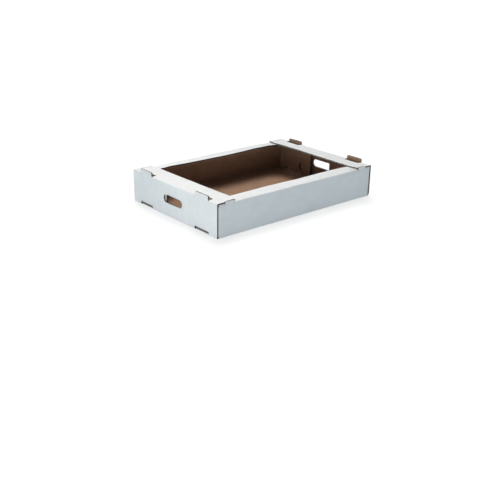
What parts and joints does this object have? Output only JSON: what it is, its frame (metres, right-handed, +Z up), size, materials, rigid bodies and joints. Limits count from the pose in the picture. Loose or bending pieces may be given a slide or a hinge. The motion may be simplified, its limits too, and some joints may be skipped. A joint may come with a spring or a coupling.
{
  "type": "cardboard tray box",
  "caption": "Shallow folded corrugated-board tray with top ledges, stadium hand holes, stacking tabs and matching base notches.",
  "frame": {"origin": "centre of the footprint, on the underside of the floor", "axes": "+X along the tray's length towards one end wall, +Y towards one long wall, +Z up"},
  "size_m": [0.6, 0.4, 0.1095],
  "materials": {
    "white_board": "matt white outer liner, brown kraft inside"
  },
  "bodies": {
    "root": {"folded_tray": "white_board"}
  },
  "joints": []
}
